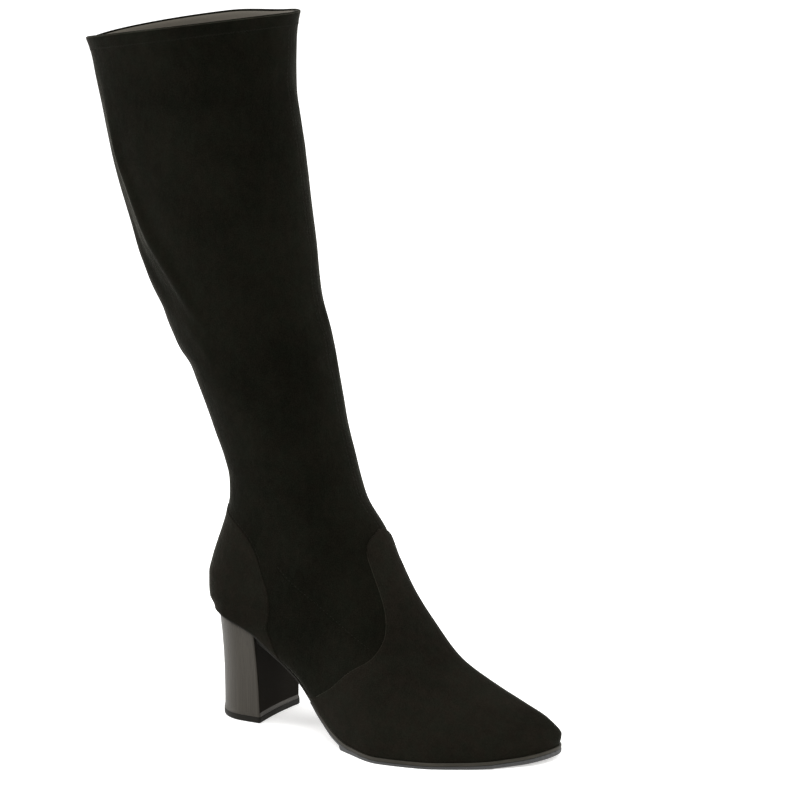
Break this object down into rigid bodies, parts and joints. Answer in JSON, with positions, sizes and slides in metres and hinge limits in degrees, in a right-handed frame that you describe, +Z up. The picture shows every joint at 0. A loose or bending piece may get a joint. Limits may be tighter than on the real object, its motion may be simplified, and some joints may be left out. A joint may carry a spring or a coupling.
{
  "type": "knee-high boot",
  "caption": "Right knee-high pull-on boot in stretch suede with a soft almond toe, a short medial zip and a rounded block heel.",
  "frame": {"origin": "on the ground under the heel, in the wearing face of the top lift, in the boot's long middle plane", "axes": "+X forwards to the toe, +Y to the medial side (the wearer's left), +Z up the shaft"},
  "size_m": [0.3243, 0.0997, 0.4389],
  "materials": {
    "upper": "napped micro-suede, black",
    "vamp": "napped micro-suede, black",
    "counter": "napped micro-suede, black",
    "hem_band": "folded micro-suede, black",
    "insole": "smooth lining, dark",
    "outsole": "satin, dark grey",
    "heel_block": "satin stacked look, dark grey",
    "top_lift": "matte, black",
    "zip_coil": "closed nylon coil, black",
    "zip_slider": "black enamel",
    "zip_pull": "black enamel with bright edges"
  },
  "bodies": {
    "boot": {"upper": "upper", "vamp": "vamp", "counter": "counter", "hem_band": "hem_band", "insole": "insole", "outsole": "outsole", "heel_block": "heel_block", "top_lift": "top_lift", "zip_coil": "zip_coil", "zip_slider": "zip_slider"},
    "zip_pull": {"zip_pull": "zip_pull"}
  },
  "joints": [
    {"name": "pull_hinge", "type": "hinge", "parent": "boot", "child": "zip_pull", "pos_m": [0.01128, 0.03917, 0.21639], "axis": [0.9976, 0.0687, 0], "range_deg": [-3, 150]}
  ]
}
